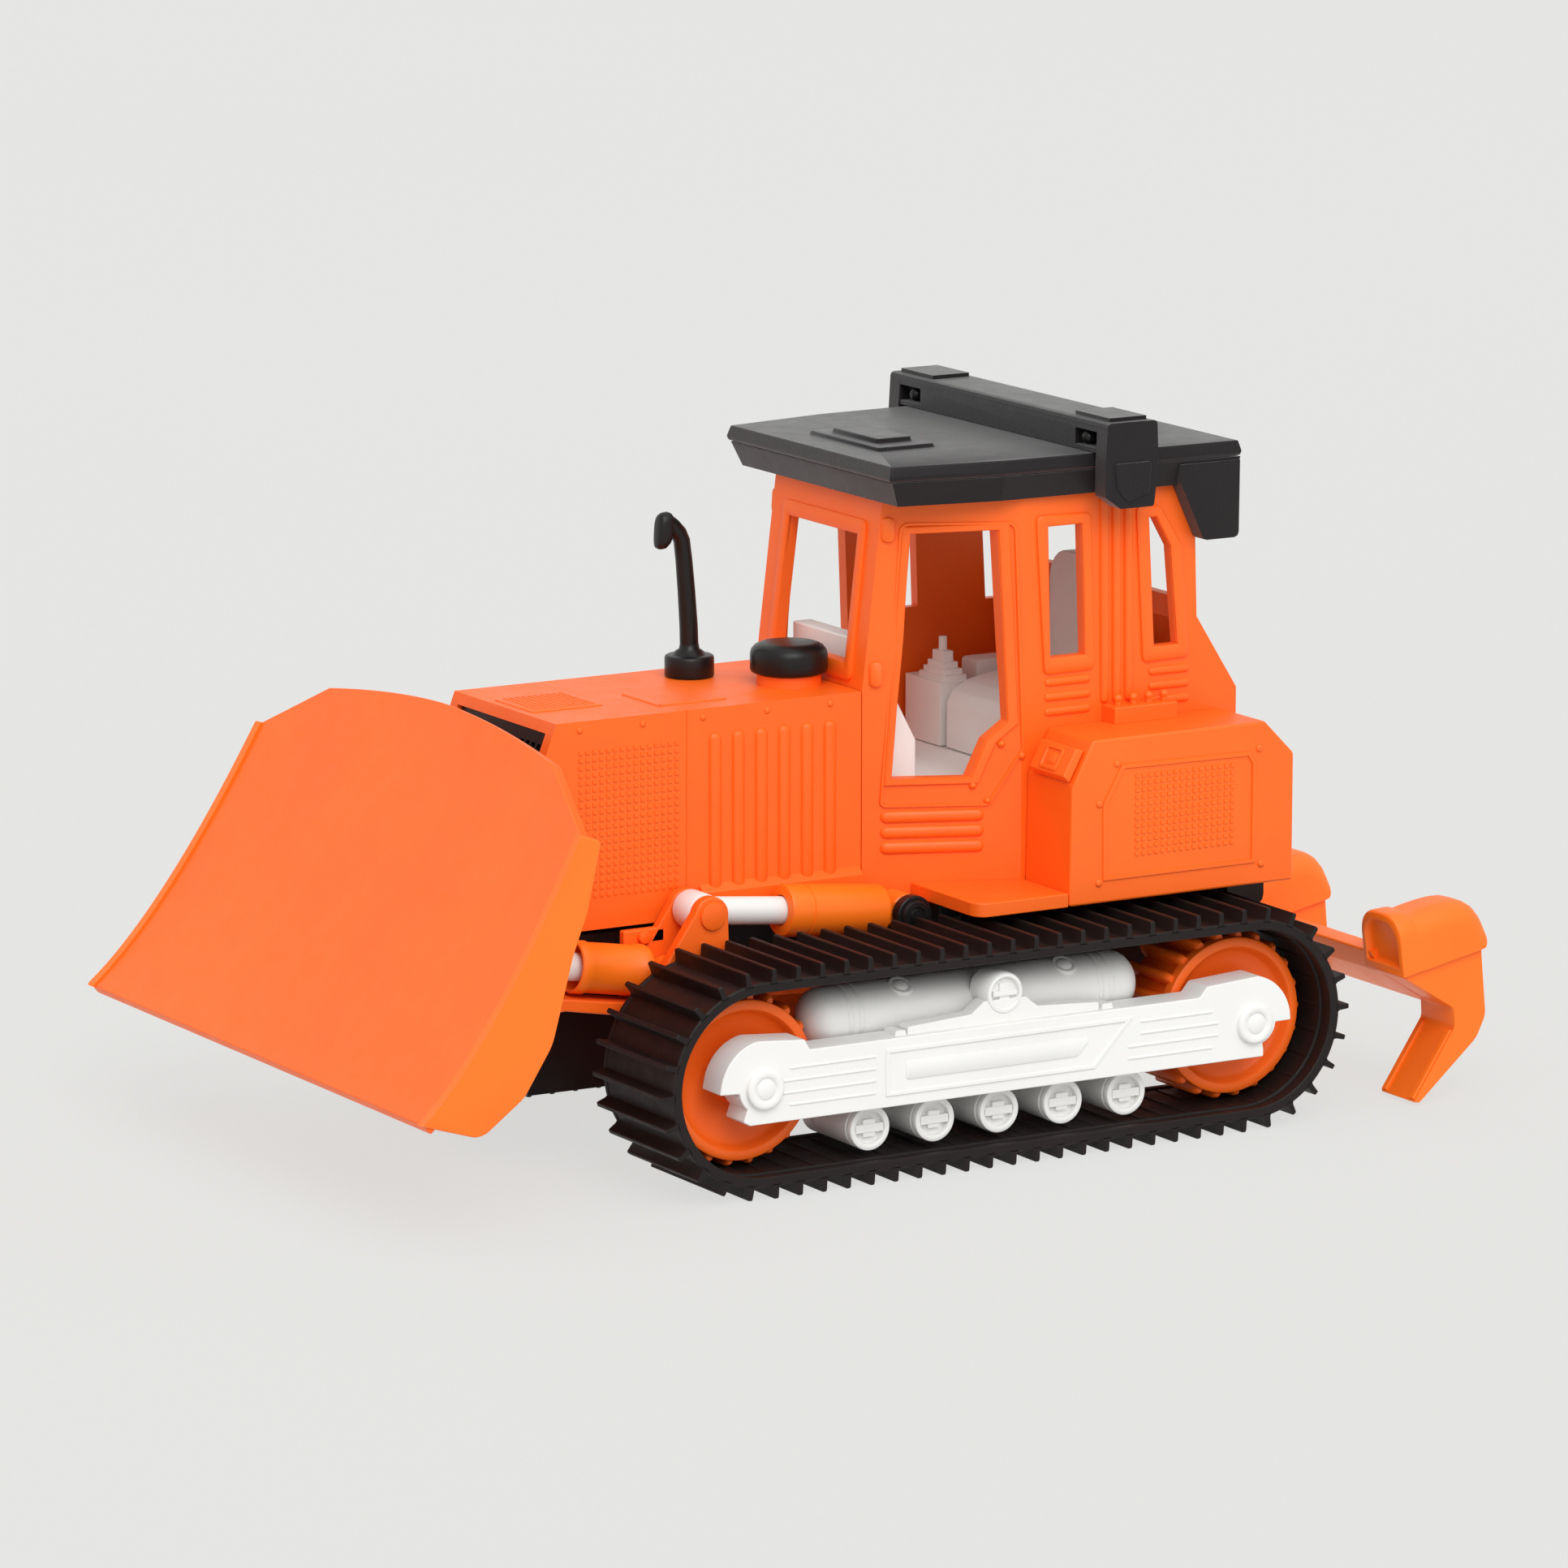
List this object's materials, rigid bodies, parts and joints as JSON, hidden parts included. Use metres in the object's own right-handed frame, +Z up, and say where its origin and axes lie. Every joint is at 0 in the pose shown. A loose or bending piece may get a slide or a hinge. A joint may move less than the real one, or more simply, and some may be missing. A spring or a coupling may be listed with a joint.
{
  "type": "toy bulldozer",
  "caption": "Moulded plastic toy crawler with a lifting, pitching front blade, rubber track belts, an open cab and a hinged rear ripper.",
  "frame": {"origin": "on the ground, under the middle of the machine's bounding box", "axes": "+Z up, -Y towards the blade at the front, +X towards the machine's left side"},
  "size_m": [0.2014, 0.3498, 0.1997],
  "materials": {
    "body_orange": "moulded orange plastic, semi-gloss",
    "blade_orange": "moulded orange plastic, slightly lighter, semi-gloss",
    "cylinder_orange": "moulded orange plastic, glossy",
    "roof_black": "fine-textured black plastic",
    "gloss_black": "smooth black plastic",
    "track_rubber": "matte soft rubber",
    "frame_white": "smooth white plastic",
    "cab_grey": "light grey plastic",
    "steel": "plain steel rod"
  },
  "bodies": {
    "machine": {"chassis": "gloss_black", "hood_shell": "body_orange", "radiator_grille": "gloss_black", "exhaust_stack": "gloss_black", "precleaner_cap": "gloss_black", "cab_shell": "body_orange", "roof_base": "roof_black", "roof_top": "roof_black", "light_bar": "roof_black", "cab_floor": "cab_grey", "seat": "cab_grey", "armrest": "cab_grey", "control_console": "cab_grey", "dashboard": "cab_grey", "front_axle": "steel", "rear_axle": "steel", "ripper_pin": "steel", "track_belt_left": "track_rubber", "track_belt_right": "track_rubber", "track_frame_left": "frame_white", "track_frame_right": "frame_white", "tank_left": "frame_white", "tank_right": "frame_white", "side_box_left": "body_orange", "side_box_right": "body_orange", "side_lamp_left": "body_orange", "side_lamp_right": "body_orange", "step_plate_left": "body_orange", "step_plate_right": "body_orange", "roof_lamp_left": "gloss_black", "roof_lamp_right": "gloss_black", "frame_pin_left": "gloss_black", "frame_pin_right": "gloss_black", "cylinder_bracket_left": "gloss_black", "cylinder_bracket_right": "gloss_black", "track_roller_1_left": "frame_white", "track_roller_1_right": "frame_white", "track_roller_2_left": "frame_white", "track_roller_2_right": "frame_white", "track_roller_3_left": "frame_white", "track_roller_3_right": "frame_white", "track_roller_4_left": "frame_white", "track_roller_4_right": "frame_white", "track_roller_5_left": "frame_white", "track_roller_5_right": "frame_white"},
    "push_frame": {"push_frame": "body_orange"},
    "blade": {"blade": "blade_orange"},
    "ripper": {"ripper": "body_orange"},
    "lift_barrel_left": {"lift_barrel_left": "cylinder_orange"},
    "lift_barrel_right": {"lift_barrel_right": "cylinder_orange"},
    "lift_rod_left": {"lift_rod_left": "frame_white"},
    "lift_rod_right": {"lift_rod_right": "frame_white"},
    "tilt_barrel_left": {"tilt_barrel_left": "cylinder_orange"},
    "tilt_barrel_right": {"tilt_barrel_right": "cylinder_orange"},
    "tilt_rod_left": {"tilt_rod_left": "frame_white"},
    "tilt_rod_right": {"tilt_rod_right": "frame_white"},
    "front_wheel_left": {"front_wheel_left": "body_orange"},
    "front_wheel_right": {"front_wheel_right": "body_orange"},
    "rear_wheel_left": {"rear_wheel_left": "body_orange"},
    "rear_wheel_right": {"rear_wheel_right": "body_orange"}
  },
  "joints": [
    {"name": "blade_lift", "type": "hinge", "parent": "machine", "child": "push_frame", "pos_m": [0, -0.01, 0.04], "axis": [1, 0, 0], "range_deg": [-4, 11]},
    {"name": "blade_pitch", "type": "hinge", "parent": "push_frame", "child": "blade", "pos_m": [0, -0.147, 0.0495], "axis": [1, 0, 0], "range_deg": [-5, 5]},
    {"name": "ripper_lift", "type": "hinge", "parent": "machine", "child": "ripper", "pos_m": [0, 0.118, 0.048], "axis": [1, 0, 0], "range_deg": [0, 35]},
    {"name": "lift_barrel_swing_left", "type": "hinge", "parent": "machine", "child": "lift_barrel_left", "pos_m": [0.0395, 0.008, 0.0638], "axis": [1, 0, 0], "range_deg": [-4, 9]},
    {"name": "lift_rod_slide_left", "type": "slide", "parent": "lift_barrel_left", "child": "lift_rod_left", "axis": [0, -0.9947, 0.1025], "range_m": [-0.002, 0.005]},
    {"name": "tilt_barrel_swing_left", "type": "hinge", "parent": "push_frame", "child": "tilt_barrel_left", "pos_m": [0.0395, -0.065, 0.054], "axis": [1, 0, 0], "range_deg": [-1, 1]},
    {"name": "tilt_rod_slide_left", "type": "slide", "parent": "tilt_barrel_left", "child": "tilt_rod_left", "axis": [0, -0.9868, 0.1622], "range_m": [-0.0018, 0.0018]},
    {"name": "front_wheel_spin_left", "type": "hinge", "parent": "machine", "child": "front_wheel_left", "pos_m": [0.0655, -0.064, 0.031], "axis": [1, 0, 0], "continuous": true},
    {"name": "rear_wheel_spin_left", "type": "hinge", "parent": "machine", "child": "rear_wheel_left", "pos_m": [0.0655, 0.0948, 0.031], "axis": [1, 0, 0], "continuous": true},
    {"name": "lift_barrel_swing_right", "type": "hinge", "parent": "machine", "child": "lift_barrel_right", "pos_m": [-0.0395, 0.008, 0.0638], "axis": [1, 0, 0], "range_deg": [-4, 9]},
    {"name": "lift_rod_slide_right", "type": "slide", "parent": "lift_barrel_right", "child": "lift_rod_right", "axis": [0, -0.9947, 0.1025], "range_m": [-0.002, 0.005]},
    {"name": "tilt_barrel_swing_right", "type": "hinge", "parent": "push_frame", "child": "tilt_barrel_right", "pos_m": [-0.0395, -0.065, 0.054], "axis": [1, 0, 0], "range_deg": [-1, 1]},
    {"name": "tilt_rod_slide_right", "type": "slide", "parent": "tilt_barrel_right", "child": "tilt_rod_right", "axis": [0, -0.9868, 0.1622], "range_m": [-0.0018, 0.0018]},
    {"name": "front_wheel_spin_right", "type": "hinge", "parent": "machine", "child": "front_wheel_right", "pos_m": [-0.0655, -0.064, 0.031], "axis": [1, 0, 0], "continuous": true},
    {"name": "rear_wheel_spin_right", "type": "hinge", "parent": "machine", "child": "rear_wheel_right", "pos_m": [-0.0655, 0.0948, 0.031], "axis": [1, 0, 0], "continuous": true}
  ],
  "couplings": [
    {"joint": "lift_barrel_swing_left", "follows": "blade_lift", "ratio": 0.7508},
    {"joint": "lift_rod_slide_left", "follows": "blade_lift", "m_per_rad": 0.02459},
    {"joint": "tilt_barrel_swing_left", "follows": "blade_pitch", "ratio": -0.08387},
    {"joint": "tilt_rod_slide_left", "follows": "blade_pitch", "m_per_rad": 0.01774},
    {"joint": "rear_wheel_spin_left", "follows": "front_wheel_spin_left", "ratio": 1},
    {"joint": "lift_barrel_swing_right", "follows": "blade_lift", "ratio": 0.7508},
    {"joint": "lift_rod_slide_right", "follows": "blade_lift", "m_per_rad": 0.02459},
    {"joint": "tilt_barrel_swing_right", "follows": "blade_pitch", "ratio": -0.08387},
    {"joint": "tilt_rod_slide_right", "follows": "blade_pitch", "m_per_rad": 0.01774},
    {"joint": "rear_wheel_spin_right", "follows": "front_wheel_spin_right", "ratio": 1}
  ]
}
